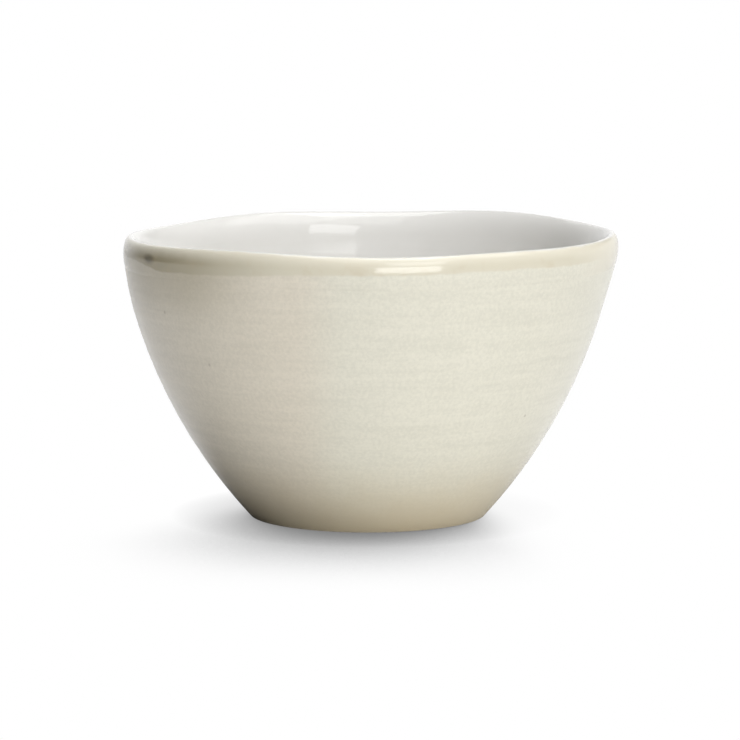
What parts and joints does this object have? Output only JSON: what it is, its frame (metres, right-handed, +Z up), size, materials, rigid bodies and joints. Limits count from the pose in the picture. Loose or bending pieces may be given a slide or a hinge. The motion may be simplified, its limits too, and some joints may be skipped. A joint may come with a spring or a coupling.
{
  "type": "prep bowl",
  "caption": "Small flared ceramic prep bowl with a narrow foot and a softly waving lip, glazed white inside and sand outside, for holding measured ingredients.",
  "frame": {"origin": "centre of the foot, on the surface that the bowl stands on", "axes": "+Z up along the bowl's axis, -Y towards the side that faces the camera, +X to its right"},
  "size_m": [0.1191, 0.119, 0.0693],
  "materials": {
    "bare_clay": "matte, bare fired clay",
    "white_glaze": "glossy",
    "sand_glaze": "glossy, finely mottled",
    "honey_glaze": "glossy"
  },
  "bodies": {
    "root": {"clay_body": "bare_clay", "inside_glaze": "white_glaze", "outside_glaze": "sand_glaze", "rim_glaze": "honey_glaze", "underside_glaze": "sand_glaze"}
  },
  "joints": []
}
